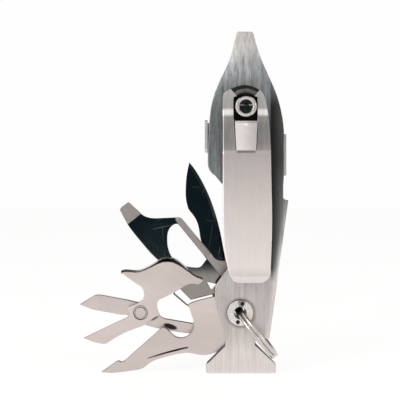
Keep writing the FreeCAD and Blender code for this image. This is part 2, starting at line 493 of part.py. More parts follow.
def strip(s0, s1, t, y0, y1):
    pts = []
    for s, k in ((s0, -1), (s1, -1), (s1, 1), (s0, 1)):
        pts.append((SP_A[0] + sux * s + snx * k * t / 2, SP_A[1] + suz * s + snz * k * t / 2))
    return poly(pts, y0, y1)


SPRING_T = 0.3
arm = arm.cut(strip(-0.01, 6.0, SPRING_T, -2, 2))
arm = arm.cut(rod(RIVET_X, RIVET_Z, 0.9, -2, 2))
arm = biggest(arm)
arm = soften(arm, Y_ARM[0], 0.12)
export("scissors_arm", arm)

spring = strip(0, 5.2, SPRING_T, Y_ARM[0] + 0.05, Y_ARM[1] - 0.05)
spring = spring.fuse(strip(4.6, sl, SPRING_T, Y_THUMB[0] + 0.1, Y_ARM[1] - 0.05))
tipc = (SP_A[0] + sux * sl + snx * -0.12, SP_A[1] + suz * sl + snz * -0.12)
spring = biggest(spring.fuse(rod(tipc[0], tipc[1], 0.3, Y_THUMB[0] + 0.1, Y_ARM[1] - 0.05)).removeSplitter())
export("scissors_spring", spring)

thumb = plate(THUMB_FACE, *Y_THUMB)
thumb = thumb.cut(rod(RIVET_X, RIVET_Z, 0.95, -4, 2))
thumb = thumb.cut(rod(RIVET_X, RIVET_Z, 1.95, Y_THUMB[0] - 1, Y_THUMB[0] + 0.4))
thumb = biggest(thumb)
thumb = soften(thumb, Y_THUMB[0], 0.12)
# thumb lip, turned back and up along the top edge
n = len(CREST_IN)


def ribbon(lower, t, y):
    up = [(p[0], p[1] + t) for p in lower]
    s1 = Part.BSplineCurve()
    s1.interpolate([V(p[0], y, p[1]) for p in lower])
    s2 = Part.BSplineCurve()
    s2.interpolate([V(p[0], y, p[1]) for p in up])
    a, b = V(lower[0][0], y, lower[0][1]), V(lower[-1][0], y, lower[-1][1])
    c, d = V(up[0][0], y, up[0][1]), V(up[-1][0], y, up[-1][1])
    return Part.Wire([s1.toShape(), Part.LineSegment(b, d).toShape(), s2.toShape(),
                      Part.LineSegment(c, a).toShape()])


LIP = 0.55
base = [(p[0], p[1] - LIP) for p in CREST_IN]
tipl = [(p[0], p[1] - LIP) for p in CREST_OUT]
lip = Part.makeLoft([ribbon(base, LIP, Y_THUMB[0] + 0.35), ribbon(tipl, LIP, Y_ARM[1])], True, True)
thumb2 = thumb.fuse(lip).removeSplitter()
print("lip", lip.isValid(), len(thumb2.Solids), thumb2.isValid())
thumb = biggest(thumb2)
export("scissors_thumb", thumb)

srv = rod(RIVET_X, RIVET_Z, 0.9, Y_THUMB[0] + 0.36, Y_ARM[1])
srv = srv.fuse(rod(RIVET_X, RIVET_Z, 1.6, Y_THUMB[0], Y_THUMB[0] + 0.36)).removeSplitter().Solids[0]
rim = [e for e in srv.Edges if abs(e.BoundBox.YMax - Y_THUMB[0]) < 1e-4 and e.BoundBox.XLength > 2]
srv = biggest(srv.makeChamfer(0.12, rim))
export("scissors_rivet", srv)

# ---------------------------------------------------------------- opener
opener = with_hub(plate(OPENER_OUTLINE, *Y_OPENER), 5.0, Y_OPENER)
opener = opener.cut(plate(OPENER_HOLE, -2, 4)).cut(plate(OPENER_NOTCH, -2, 4))
opener = soften(biggest(opener), Y_OPENER[0], 0.14)


def ground_flat(p, q, reach, y_face, depth, side):
    """Sloped ground face: starts on the line p-q and deepens away from it."""
    ux, uz = q[0] - p[0], q[1] - p[1]
    m = math.hypot(ux, uz)
    ux, uz = ux / m, uz / m
    wx, wz = -uz * side, ux * side
    a, b = V(p[0], y_face, p[1]), V(p[0] + wx * reach, y_face, p[1] + wz * reach)
    c = V(p[0] + wx * reach, y_face + depth, p[1] + wz * reach)
    up = V(p[0] + wx * reach, y_face - 0.5, p[1] + wz * reach)
    st = V(p[0], y_face - 0.5, p[1])
    f = Part.Face(Part.makePolygon([a, c, up, st, a]))
    return f.extrude(V(ux * m, 0, uz * m))


# screwdriver tip, ground on both sides, and the bevelled arm edge
for yf, s in ((Y_OPENER[0], 1.0), (Y_OPENER[1], -1.0)):
    g = ground_flat(TIP_P, TIP_Q, 7.5, 0.0, 0.42, 1)
    if s < 0:
        g = g.mirror(V(0, 0, 0), V(0, 1, 0))
    g.translate(V(0, yf, 0))
    opener = biggest(opener.cut(g))
    print("opener closed", closed(opener))
g = ground_flat(BAND_P, BAND_Q, 1.75, 0.0, 0.5, 1)
g.translate(V(0, Y_OPENER[0], 0))
opener = biggest(opener.cut(g))
export("opener_driver", opener)

# ---------------------------------------------------------------- knife
knife = with_hub(plate(KNIFE_OUTLINE, *Y_KNIFE), 4.8, Y_KNIFE)
# cutting edge ground from both faces: a wedge swept along the edge curve
ym = 0.5 * (Y_KNIFE[0] + Y_KNIFE[1])
edge_pts = KNIFE_GRIND
inner_pts = []
for i, p in enumerate(edge_pts):
    a = edge_pts[max(i - 1, 0)]
    b = edge_pts[min(i + 1, len(edge_pts) - 1)]
    ux, uz = b[0] - a[0], b[1] - a[1]
    m = math.hypot(ux, uz)
    inner_pts.append((p[0] + uz / m * GRIND, p[1] - ux / m * GRIND))
outer_pts = [(2 * p[0] - q[0], 2 * p[1] - q[1]) for p, q in zip(edge_pts, inner_pts)]


def curve(pts, y):
    s = Part.BSplineCurve()
    s.interpolate([V(p[0], y, p[1]) for p in pts])
    return s.toShape()


def wedge(y_face, y_edge):
    """Removes the metal between the face and the cutting edge."""
    fi = curve(inner_pts, y_face)
    fm = curve(edge_pts, y_edge)
    fo = curve(outer_pts, 2 * y_edge - y_face)
    ft = curve(outer_pts, y_face - (y_edge - y_face) * 0.6)
    fb = curve(inner_pts, y_face - (y_edge - y_face) * 0.6)
    f1 = Part.makeRuledSurface(fi, fo)
    f2 = Part.makeRuledSurface(fo, ft)
    f3 = Part.makeRuledSurface(ft, fb)
    f4 = Part.makeRuledSurface(fb, fi)
    ends = []
    for k in (0, -1):
        ps = [V(inner_pts[k][0], y_face, inner_pts[k][1]),
              V(outer_pts[k][0], 2 * y_edge - y_face, outer_pts[k][1]),
              V(outer_pts[k][0], y_face - (y_edge - y_face) * 0.6, outer_pts[k][1]),
              V(inner_pts[k][0], y_face - (y_edge - y_face) * 0.6, inner_pts[k][1])]
        ends.append(Part.Face(Part.makePolygon(ps + [ps[0]])))
    sh = Part.makeShell([f1, f2, f3, f4] + ends)
    sh.sewShape()
    so = Part.makeSolid(Part.Shell(sh.Faces) if not isinstance(sh, Part.Shell) else sh)
    if so.Volume < 0:
        so.reverse()
    return so


try:
    k2 = knife.cut(wedge(Y_KNIFE[0], ym - 0.08)).cut(wedge(Y_KNIFE[1], ym + 0.08))
    k2 = biggest(k2)
    print("knife grind", knife.Volume, k2.Volume, k2.isValid())
    if k2.isValid() and 0.6 * knife.Volume < k2.Volume < knife.Volume:
        knife = k2
except Exception as exc:
    print("knife grind failed", exc)
export("knife_blade", knife)

# ---------------------------------------------------------------- split ring
ra = math.radians(RING_ANGLE)
ux, uz = math.cos(ra), math.sin(ra)            # pivot to ring centre
ax, az = -uz, ux                               # ring's own axis
rc = V(PIV_X + ux * RING_C, 0, PIV_Z + uz * RING_C)
off = 0.52
hh = math.sqrt(WIRE_R ** 2 - off ** 2)


def rp(r, a):
    """Point at radius r from the ring centre, a along its axis."""
    return V(rc.x + ux * r + ax * a, 0, rc.z + uz * r + az * a)


coil = Part.Wire([
    Part.Arc(rp(RING_R + hh, 0), rp(RING_R, off + WIRE_R), rp(RING_R - hh, 0)).toShape(),
    Part.Arc(rp(RING_R - hh, 0), rp(RING_R, -off - WIRE_R), rp(RING_R + hh, 0)).toShape()])
ring = Part.Face(coil).revolve(rc, V(ax, 0, az), 360)
if ring.ShapeType != 'Solid':
    ring = ring.Solids[0]
export("split_ring", ring)

# ---------------------------------------------------------------- stud
pts = [(0, -8.05), (0.9, -8.1), (1.75, -8.3), (2.1, -8.62), (2.35, -8.7), (2.62, -8.62), (2.9, -8.3),
       (2.9, -7.35), (2.6, -7.0), (NECK_R, -7.0), (NECK_R, 5.35), (3.1, 5.35), (3.1, 5.95),
       (2.5, 6.3), (0, 6.3)]
w = Part.makePolygon([V(STUD_X + r, y, STUD_Z) for r, y in pts] + [V(STUD_X + pts[0][0], pts[0][1], STUD_Z)])
stud = Part.Face(w).revolve(V(STUD_X, 0, STUD_Z), V(0, 1, 0), 360)
stud = stud.Solids[0]
export("lever_stud", stud)

# ---------------------------------------------------------------- lever
TOP_F, LOW_F = AX_LEVER_Y - LEVER_T / 2, -8.3  # front faces of the eye end and the flat
lo = [(TOP_F + 0.75, 80.5), (TOP_F + 0.25, 80.2), (TOP_F, 79.4), (TOP_F, 73.2), (TOP_F - 0.12, 72.2),
      (LOW_F + 0.14, 62.3), (LOW_F, 60.9), (LOW_F, 27.4), (LOW_F + 0.3, 25.6)]
li = [(LOW_F + LEVER_T, 25.6), (LOW_F + LEVER_T, 61.1), (LOW_F + LEVER_T + 0.14, 62.5),
      (TOP_F + LEVER_T - 0.12, 72.4), (TOP_F + LEVER_T, 73.4), (TOP_F + LEVER_T, 80.5)]
lever = side_prism(lo + li, -16, 18).common(plate(LEVER_OUTLINE, -12, -1))
lever = biggest(lever)
ex = STUD_X - 0.02
eye = [('L', [(ex - EYE_HALF, 76.6), (ex - EYE_HALF, 71.4)]),
       ('S', [(ex - EYE_HALF, 71.4), (ex - EYE_HALF + 0.35, 70.5), (ex - EYE_HALF + 1.25, 70.12)]),
       ('L', [(ex - EYE_HALF + 1.25, 70.12), (ex + EYE_HALF - 1.25, 70.12)]),
       ('S', [(ex + EYE_HALF - 1.25, 70.12), (ex + EYE_HALF - 0.35, 70.5), (ex + EYE_HALF, 71.4)]),
       ('L', [(ex + EYE_HALF, 71.4), (ex + EYE_HALF, 76.6)]),
       ('S', [(ex + EYE_HALF, 76.6), (ex, 77.35), (ex - EYE_HALF, 76.6)])]
lever = lever.cut(plate(eye, -12, -1))
# window that the fulcrum tongue is lanced from
T_X0, T_X1 = ex - 3.27, ex + 3.27
B_X0, B_X1 = ex - 2.55, ex + 2.75
window = poly([(T_X0 - 0.05, 72.0), (B_X0 - 0.3, 61.9), (B_X1 + 0.3, 61.9), (T_X1 + 0.05, 72.0)], -12, -1)
lever = biggest(lever.cut(window))
tongue_profile = side_prism([
    (LOW_F, 60.5), (LOW_F, 61.9), (LOW_F - 0.12, 63.0), (LOW_F - 0.5, 68.2), (LOW_F - 0.46, 69.2),
    (LOW_F - 0.12, 69.9), (LOW_F + 0.35, 69.95), (LOW_F + 0.5, 69.4), (LOW_F + 0.45, 68.2),
    (LOW_F + 0.88, 63.0), (LOW_F + 0.98, 61.9), (LOW_F + 0.98, 60.5)], -16, 18)
tongue = tongue_profile.common(poly([(T_X0 + 0.18, 72.0), (B_X0, 60.6), (B_X1, 60.6), (T_X1 - 0.18, 72.0)], -14, -1))
tongue = tongue.cut(Part.makeSphere(0.55, V(ex - 0.05, LOW_F - 0.88, 68.9)))
lever = biggest(lever.fuse(tongue).removeSplitter())
lever = soften(lever, LOW_F, 0.18)


def eye_ring(profile, a0, a1):
    """Solid turned about the stud axis from a (radius, Y) profile, between two angles in X-Z."""
    ca, sa = math.cos(math.radians(a0)), math.sin(math.radians(a0))
    pts = [V(STUD_X + r * ca, y, STUD_Z + r * sa) for r, y in profile]
    f = Part.Face(Part.makePolygon(pts + [pts[0]]))
    s = f.revolve(V(STUD_X, 0, STUD_Z), V(0, -1, 0), a1 - a0)
    return s if s.Volume > 0 else s.reversed()


# bridge beyond the eye: dressed down towards the leaf, with a groove along it
dressed = lever.cut(eye_ring([(4.15, TOP_F - 0.3), (4.15, TOP_F), (6.6, TOP_F + 0.72), (6.6, TOP_F - 0.3)], 50, 130))
if dressed.isValid() and closed(biggest(dressed)):
    lever = biggest(dressed)
grooved = lever.cut(eye_ring([(5.2, TOP_F - 0.3), (5.2, TOP_F + 0.6), (5.55, TOP_F + 0.6), (5.55, TOP_F - 0.3)], 53, 127))
if grooved.isValid() and closed(biggest(grooved)):
    lever = biggest(grooved)
print("lever bridge", lever.isValid(), closed(lever))
export("lever", lever)
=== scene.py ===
import math
import bpy
import bmesh
from mathutils import Vector, Matrix


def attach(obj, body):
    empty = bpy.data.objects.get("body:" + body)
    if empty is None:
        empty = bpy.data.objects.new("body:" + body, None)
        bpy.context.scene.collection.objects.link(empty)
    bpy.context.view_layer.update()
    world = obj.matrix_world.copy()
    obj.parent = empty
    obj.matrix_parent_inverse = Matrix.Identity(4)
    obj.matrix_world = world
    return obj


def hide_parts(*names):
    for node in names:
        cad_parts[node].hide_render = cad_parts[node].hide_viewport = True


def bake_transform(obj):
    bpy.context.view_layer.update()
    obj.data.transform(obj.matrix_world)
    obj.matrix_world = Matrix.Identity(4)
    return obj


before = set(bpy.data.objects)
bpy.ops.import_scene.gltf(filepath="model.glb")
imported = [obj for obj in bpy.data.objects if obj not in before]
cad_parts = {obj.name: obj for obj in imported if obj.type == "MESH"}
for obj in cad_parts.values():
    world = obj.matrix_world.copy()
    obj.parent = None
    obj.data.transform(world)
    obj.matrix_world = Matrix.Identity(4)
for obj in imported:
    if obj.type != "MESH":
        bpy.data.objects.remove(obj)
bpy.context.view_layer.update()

MM = 0.001
PIV = (-0.1, 17.0)              # tool pivot, X-Z, mm


# ------------------------------------------------------------------ node helpers
class Mat:
    """A node material with short calls for the usual nodes. Coordinates are the object's own, in millimetres."""

    def __init__(self, name):
        self.mat = bpy.data.materials.new(name)
        self.mat.use_nodes = True
        self.nt = self.mat.node_tree
        self.nt.nodes.clear()
        out = self.nt.nodes.new("ShaderNodeOutputMaterial")
        self.p = self.nt.nodes.new("ShaderNodeBsdfPrincipled")
        self.link(self.p.outputs[0], out.inputs[0])
        tc = self.nt.nodes.new("ShaderNodeTexCoord")
        sc = self.nt.nodes.new("ShaderNodeVectorMath")
        sc.operation = "SCALE"
        sc.inputs["Scale"].default_value = 1000.0
        self.link(tc.outputs["Object"], sc.inputs[0])
        self.co = sc.outputs[0]
        sep = self.nt.nodes.new("ShaderNodeSeparateXYZ")
        self.link(self.co, sep.inputs[0])
        self.x, self.y, self.z = sep.outputs
        sep = self.nt.nodes.new("ShaderNodeSeparateXYZ")
        self.link(tc.outputs["Normal"], sep.inputs[0])
        self.nx, self.ny, self.nz = sep.outputs
        self.p.inputs["Metallic"].default_value = 1.0

    def link(self, a, b):
        self.nt.links.new(a, b)

    def put(self, value, socket):
        if isinstance(value, bpy.types.NodeSocket):
            self.link(value, socket)
        else:
            socket.default_value = value

    def m(self, op, a, b=None, c=None, clamp=False):
        n = self.nt.nodes.new("ShaderNodeMath")
        n.operation = op
        n.use_clamp = clamp
        for v, s in zip((a, b, c), n.inputs):
            if v is not None:
                self.put(v, s)
        return n.outputs[0]

    def v(self, op, a, b=None):
        n = self.nt.nodes.new("ShaderNodeVectorMath")
        n.operation = op
        for val, s in zip((a, b), n.inputs):
            if val is not None:
                self.put(val, s)
        return n.outputs["Value"] if op in ("DOT_PRODUCT", "LENGTH") else n.outputs[0]

    def stretch(self, angle, scale):
        """Coordinates turned about Y by angle (degrees), then scaled per axis."""
        r = self.nt.nodes.new("ShaderNodeVectorRotate")
        r.rotation_type = "Y_AXIS"
        r.inputs["Angle"].default_value = math.radians(angle)
        self.link(self.co, r.inputs["Vector"])
        return self.v("MULTIPLY", r.outputs[0], scale)

    def noise(self, vec, scale=1.0, detail=2.0, rough=0.5, distort=0.0):
        n = self.nt.nodes.new("ShaderNodeTexNoise")
        self.link(vec, n.inputs["Vector"])
        n.inputs["Scale"].default_value = scale
        n.inputs["Detail"].default_value = detail
        n.inputs["Roughness"].default_value = rough
        n.inputs["Distortion"].default_value = distort
        return n.outputs[0]

    def step(self, val, lo, hi, a=0.0, b=1.0):
        """Smooth step of val from a at lo to b at hi."""
        n = self.nt.nodes.new("ShaderNodeMapRange")
        n.interpolation_type = "SMOOTHSTEP"
        if lo > hi:
            lo, hi, a, b = hi, lo, b, a
        for v, s in zip((val, lo, hi, a, b), n.inputs):
            self.put(v, s)
        return n.outputs[0]

    def mix(self, f, a, b, mode="MIX"):
        n = self.nt.nodes.new("ShaderNodeMix")
        n.data_type = "RGBA"
        n.blend_type = mode
        n.clamp_factor = True
        self.put(f, n.inputs[0])
        for v, s in ((a, n.inputs[6]), (b, n.inputs[7])):
            if not isinstance(v, bpy.types.NodeSocket):
                v = (*v[:3], 1.0)
            self.put(v, s)
        return n.outputs[2]

    def side(self, p, q, soft):
        """0 to 1 across the line p-q in X-Z: 1 on its left, looking from p to q, over a width soft."""
        dx, dz = q[0] - p[0], q[1] - p[1]
        k = math.hypot(dx, dz)
        nx, nz = -dz / k, dx / k
        d = self.m("ADD", self.m("MULTIPLY", self.m("SUBTRACT", self.x, p[0]), nx),
                   self.m("MULTIPLY", self.m("SUBTRACT", self.z, p[1]), nz))
        return self.step(d, -soft / 2, soft / 2)

    def ramp(self, val, stops):
        """Piecewise smooth grey value: stops is a list of (position, value), values up to 2."""
        lo, hi = stops[0][0], stops[-1][0]
        n = self.nt.nodes.new("ShaderNodeMapRange")
        for v, s in zip((val, lo, hi, 0.0, 1.0), n.inputs):
            self.put(v, s)
        r = self.nt.nodes.new("ShaderNodeValToRGB")
        self.link(n.outputs[0], r.inputs[0])
        e = r.color_ramp.elements
        while len(e) < len(stops):
            e.new(0.5)
        for k, (p, v) in zip(e, stops):
            k.position = (p - lo) / (hi - lo)
        for k, (p, v) in zip(e, stops):
            k.color = (v / 2, v / 2, v / 2, 1)
        return self.m("MULTIPLY", r.outputs[0], 2.0)

    def grey(self, val):
        n = self.nt.nodes.new("ShaderNodeCombineColor")
        for s in n.inputs[:3]:
            self.link(val, s)
        return n.outputs[0]

    def scaled(self, c, val):
        return self.mix(1.0, c, self.grey(val), "MULTIPLY")

    def spot(self, c, r, soft, squash=1.0, angle=0.0):
        """1 inside an ellipse round c in X-Z, fading to 0."""
        ca, sa = math.cos(math.radians(angle)), math.sin(math.radians(angle))
        dx, dz = self.m("SUBTRACT", self.x, c[0]), self.m("SUBTRACT", self.z, c[1])
        u = self.m("ADD", self.m("MULTIPLY", dx, ca), self.m("MULTIPLY", dz, sa))
        w = self.m("MULTIPLY", self.m("ADD", self.m("MULTIPLY", dx, -sa), self.m("MULTIPLY", dz, ca)), 1 / squash)
        d = self.m("SQRT", self.m("ADD", self.m("MULTIPLY", u, u), self.m("MULTIPLY", w, w)))
        return self.step(d, r + soft / 2, r - soft / 2)


def steel(name, col, rough=0.35, angle=0.0, grain=0.10, fine=3.5, coarse=0.9, bump=0.25,
          patch=0.06, scratch=0.25, wear=0.35, edge=0.16, tint=None, aniso=0.0, top_edge_reflection=None, streak=None, crisp=False):
    """Brushed steel. Grain runs along the object's Z turned by angle. tint(m, colour) may paint over the colour."""
    m = Mat(name)
    g1 = m.noise(m.stretch(angle, (fine, 1.2, 0.10)), detail=3.0, rough=0.6)
    g2 = m.noise(m.stretch(angle, (coarse, 0.7, 0.035)), detail=2.0)
    pt = m.noise(m.stretch(angle + 20, (0.11, 0.11, 0.07)), detail=3.0, distort=0.6)
    s1 = m.noise(m.stretch(angle + 62, (5.0, 1.0, 0.09)), detail=1.0)
    s2 = m.noise(m.stretch(angle - 34, (4.0, 1.0, 0.07)), detail=1.0)
    lines = m.m("MAXIMUM", m.step(s1, 0.70, 0.78), m.step(s2, 0.70, 0.77))
    amt = m.m("ADD", m.m("MULTIPLY", m.m("SUBTRACT", g1, 0.5), grain * 2.0),
              m.m("MULTIPLY", m.m("SUBTRACT", g2, 0.5), grain * 1.6 if streak is None else streak))
    amt = m.m("ADD", amt, m.m("MULTIPLY", m.m("SUBTRACT", pt, 0.5), patch * 2.0))
    lum = m.m("ADD", amt, 1.0)
    grey = m.nt.nodes.new("ShaderNodeCombineColor")
    for s in grey.inputs[:3]:
        m.link(lum, s)
    c = m.mix(1.0, col, grey.outputs[0], "MULTIPLY")
    c = m.mix(m.m("MULTIPLY", lines, scratch), c, tuple(min(1.0, k * 1.25 + 0.08) for k in col))
    extra = None
    if tint:
        c = tint(m, c)
        if isinstance(c, tuple):
            c, extra = c
    bev = m.nt.nodes.new("ShaderNodeBevel")
    bev.samples = 4
    bev.inputs["Radius"].default_value = edge * MM
    geo = m.nt.nodes.new("ShaderNodeNewGeometry")
    worn = m.step(m.v("DOT_PRODUCT", bev.outputs[0], geo.outputs["Normal"]), 0.985, 0.86)
    worn = m.m("MULTIPLY", worn, m.step(pt, 0.30, 0.62, 0.35, 1.0))
    c = m.mix(m.m("MULTIPLY", worn, wear), c, (0.93, 0.91, 0.89))
    if top_edge_reflection:
        # sheared and tumbled upper edges, painted darker than the faces: a painted reflection of the dark overhead on
        # upward-facing edges
        tr = m.nt.nodes.new("ShaderNodeVectorTransform")
        tr.vector_type = "NORMAL"
        tr.convert_from, tr.convert_to = "WORLD", "OBJECT"
        m.link(bev.outputs[0], tr.inputs[0])
        sp = m.nt.nodes.new("ShaderNodeSeparateXYZ")
        m.link(tr.outputs[0], sp.inputs[0])
        amount, y_front, depth, behind = top_edge_reflection
        fade = m.step(m.y, y_front + depth, y_front + depth * 0.6, behind, 1.0)
        c = m.mix(m.m("MULTIPLY", m.step(sp.outputs[2], 0.10, 0.42), m.m("MULTIPLY", fade, amount)), c, (0.020, 0.019, 0.019))
    m.link(c, m.p.inputs["Base Color"])
    r = m.m("ADD", m.m("MULTIPLY", m.m("SUBTRACT", g1, 0.5), grain * 0.9), rough)
    r = m.m("ADD", r, m.m("MULTIPLY", m.m("SUBTRACT", pt, 0.5), patch * 0.8))
    r = m.m("SUBTRACT", r, m.m("MULTIPLY", worn, 0.06))
    r = m.m("ADD", r, m.m("MULTIPLY", lines, 0.25))
    if extra is not None:
        r = m.m("ADD", r, extra)
    m.link(m.m("MAXIMUM", r, 0.03), m.p.inputs["Roughness"])
    h = m.m("ADD", m.m("ADD", g1, m.m("MULTIPLY", g2, 0.6)), m.m("MULTIPLY", lines, -0.5))
    b = m.nt.nodes.new("ShaderNodeBump")
    b.inputs["Strength"].default_value = bump
    b.inputs["Distance"].default_value = 0.02 * MM
    m.link(h, b.inputs["Height"])
    m.link(geo.outputs["True Normal"] if crisp else bev.outputs[0], b.inputs["Normal"])
    m.link(b.outputs[0], m.p.inputs["Normal"])
    if aniso:
        m.p.inputs["Anisotropic"].default_value = aniso
    return m.mat


def turned(name, col, rough=0.22, centre=PIV, rings=9.0, aniso=0.0, tint=None, wear=0.3):
    """Lathe-turned metal: concentric tool marks round an axis along Y, with a sunburst of fine radial change."""
    m = Mat(name)
    dx, dz = m.m("SUBTRACT", m.x, centre[0]), m.m("SUBTRACT", m.z, centre[1])
    rad = m.m("SQRT", m.m("ADD", m.m("MULTIPLY", dx, dx), m.m("MULTIPLY", dz, dz)))
    ang = m.m("ARCTAN2", dz, dx)
    ca, sa = m.m("COSINE", ang), m.m("SINE", ang)
    comb = m.nt.nodes.new("ShaderNodeCombineXYZ")
    m.link(ca, comb.inputs[0]); m.link(sa, comb.inputs[1]); m.link(m.m("MULTIPLY", rad, 0.05), comb.inputs[2])
    rays = m.noise(comb.outputs[0], scale=6.0, detail=3.0, rough=0.6)
    comb2 = m.nt.nodes.new("ShaderNodeCombineXYZ")
    m.link(m.m("MULTIPLY", rad, rings), comb2.inputs[0]); m.link(m.m("MULTIPLY", ca, 0.2), comb2.inputs[1])
    marks = m.noise(comb2.outputs[0], scale=1.0, detail=2.0)
    lum = m.m("ADD", m.m("MULTIPLY", m.m("SUBTRACT", rays, 0.5), 0.55),
              m.m("ADD", m.m("MULTIPLY", m.m("SUBTRACT", marks, 0.5), 0.22), 1.0))
    grey = m.nt.nodes.new("ShaderNodeCombineColor")
    for s in grey.inputs[:3]:
        m.link(lum, s)
    c = m.mix(1.0, col, grey.outputs[0], "MULTIPLY")
    if tint:
        c = tint(m, c, rad, ang)
    bev = m.nt.nodes.new("ShaderNodeBevel")
    bev.samples = 4
    bev.inputs["Radius"].default_value = 0.1 * MM
    geo = m.nt.nodes.new("ShaderNodeNewGeometry")
    worn = m.step(m.v("DOT_PRODUCT", bev.outputs[0], geo.outputs["Normal"]), 0.985, 0.86)
    c = m.mix(m.m("MULTIPLY", worn, wear), c, (0.95, 0.93, 0.90))
    m.link(c, m.p.inputs["Base Color"])
    m.link(m.m("ADD", m.m("MULTIPLY", m.m("SUBTRACT", marks, 0.5), 0.12), rough), m.p.inputs["Roughness"])
    b = m.nt.nodes.new("ShaderNodeBump")
    b.inputs["Strength"].default_value = 0.25
    b.inputs["Distance"].default_value = 0.015 * MM
    m.link(marks, b.inputs["Height"])
    m.link(bev.outputs[0], b.inputs["Normal"])
    m.link(b.outputs[0], m.p.inputs["Normal"])
    return m.mat


def dress(node, mat):
    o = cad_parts[node]
    if not o.material_slots:
        o.data.materials.append(mat)
    for s in o.material_slots:
        s.material = mat


# ------------------------------------------------------------------ finishes
def frame_tint(m, c):
    # painted reflection and shade: lighter foot, mid plate, darker leaf, light nose
    c = m.scaled(c, m.ramp(m.z, [(0.0, 1.09), (6.0, 1.11), (9.0, 0.98), (12.0, 0.89), (20.0, 0.87), (27.0, 0.92), (48.0, 0.58),
                                 (60.0, 0.47), (70.0, 0.38), (76.0, 0.42), (81.0, 0.50), (86.0, 0.80), (89.0, 1.10), (96.0, 1.45)]))
    brush = m.noise(m.stretch(0, (1.25, 0.7, 0.055)), detail=4.0, rough=0.7)
    nicks = m.noise(m.stretch(0, (1.6, 0.7, 0.45)), detail=2.0)
    amp = m.ramp(m.z, [(0.0, 0.10), (10.0, 0.22), (26.0, 0.45), (50.0, 1.15), (84.0, 1.2), (92.0, 0.4)])
    both = m.m("ADD", m.m("MULTIPLY", m.m("SUBTRACT", brush, 0.5), 1.9), m.m("MULTIPLY", m.m("SUBTRACT", nicks, 0.5), 0.8))
    c = m.scaled(c, m.m("ADD", m.m("MULTIPLY", both, amp), 1.0))
    # painted light: the nose is lighter on its left
    side = m.m("ADD", m.m("MULTIPLY", m.m("SUBTRACT", m.x, 1.4), -0.045), 1.0)
    c = m.scaled(c, m.mix(m.step(m.z, 76.0, 86.0), (1, 1, 1), m.grey(m.m("MAXIMUM", side, 0.6))))
    # the leaf is a cooler grey, the foot a warmer one
    cool = m.m("MULTIPLY", m.step(m.z, 36.0, 54.0), m.step(m.z, 95.0, 84.0))
    c = m.mix(cool, c, m.mix(1.0, c, (0.885, 0.985, 1.04), "MULTIPLY"))
    c = m.mix(m.step(m.z, 32.0, 22.0), c, m.mix(1.0, c, (1.03, 0.985, 0.975), "MULTIPLY"))
    # painted shade: a soft dark halo round the pivot's flange, where the sheet is pressed in
    hx, hz = m.m("SUBTRACT", m.x, PIV[0] + 0.15), m.m("SUBTRACT", m.z, PIV[1] - 0.1)
    hr = m.m("SQRT", m.m("ADD", m.m("MULTIPLY", hx, hx), m.m("MULTIPLY", hz, hz)))
    c = m.scaled(c, m.step(hr, 3.7, 4.75, 0.60, 1.0))
    # painted reflection and shade: the strip beside the lever is near black, lighter towards the spine's outer edge
    xo = m.m("MINIMUM", m.m("ADD", m.m("MULTIPLY", m.m("SUBTRACT", m.z, 9.6), 0.1362), 8.2), 12.2)
    t = m.m("DIVIDE", m.m("SUBTRACT", m.x, 8.3), m.m("SUBTRACT", xo, 8.3), clamp=True)
    edge = m.ramp(m.z, [(24.0, 0.95), (28.0, 0.85), (37.0, 0.46), (45.0, 0.28), (52.0, 0.20), (60.0, 0.09), (76.0, 0.13)])
    lum = m.m("ADD", m.m("MULTIPLY", m.m("POWER", t, 1.7), edge), 0.030)
    streak = m.noise(m.stretch(0, (2.2, 0.7, 0.05)), detail=2.0)
    lum = m.m("MULTIPLY", lum, m.m("ADD", m.m("MULTIPLY", m.m("SUBTRACT", streak, 0.5), 0.9), 1.0))
    on = m.m("MULTIPLY", m.step(m.x, 7.9, 8.6), m.m("MULTIPLY", m.step(m.z, 24.5, 30.0), m.step(m.z, 82.0, 74.0)))
    c = m.mix(on, c, m.grey(lum))
    # painted shade: near black on the sheet inside the lever's eye
    hole = m.m("MULTIPLY", m.step(m.m("ABSOLUTE", m.m("SUBTRACT", m.x, 1.28)), 4.2, 3.6),
               m.m("MULTIPLY", m.step(m.z, 69.0, 69.6), m.step(m.z, 78.2, 77.6)))
    c = m.mix(hole, c, (0.012, 0.012, 0.012))
    # painted reflection of the dark overhead: near-black lines along the rolled upper edges of the flared foot
    for p, q, lo, hi in (((-9.3, 3.2), (-4.3, 8.2), -9.8, -4.1), ((4.1, 8.4), (9.3, 3.6), 3.8, 10.0)):
        dx, dz = q[0] - p[0], q[1] - p[1]
        k = math.hypot(dx, dz)
        d = m.m("ADD", m.m("MULTIPLY", m.m("SUBTRACT", m.x, p[0]), -dz / k), m.m("MULTIPLY", m.m("SUBTRACT", m.z, p[1]), dx / k))
        near = m.m("MULTIPLY", m.step(d, -0.46, -0.28), m.m("MULTIPLY", m.step(m.x, lo, lo + 0.3), m.step(m.x, hi, hi - 0.3)))
        near = m.m("MULTIPLY", near, m.m("MULTIPLY", m.step(m.z, 2.7, 3.2), m.step(m.z, 9.2, 8.6)))
        c = m.mix(m.m("MULTIPLY", near, 0.92), c, (0.02, 0.02, 0.02))
    return c


def opener_tint(m, c):
    tip = m.side((-32.09, 41.18), (-27.66, 44.73), 0.25)
    band = m.m("MULTIPLY", m.side((-17.92, 42.23), (-9.40, 31.81), 0.3), m.step(m.x, -18.6, -17.8))
    ground = m.m("MAXIMUM", tip, band)
    # painted light: the opener is lighter towards its root, low down
    c = m.mix(m.m("MULTIPLY", m.step(m.z, 31.0, 26.5), 0.9), c, (0.30, 0.27, 0.245))
    # ground tip and band: a rougher grind, painted lighter for the sheen it catches
    c = m.mix(ground, c, (0.44, 0.405, 0.395))
    # painted shade: the tip's facet a little darker
    c = m.scaled(c, m.m("SUBTRACT", 1.0, m.m("MULTIPLY", tip, 0.22)))
    return c, m.m("MULTIPLY", ground, 0.34)


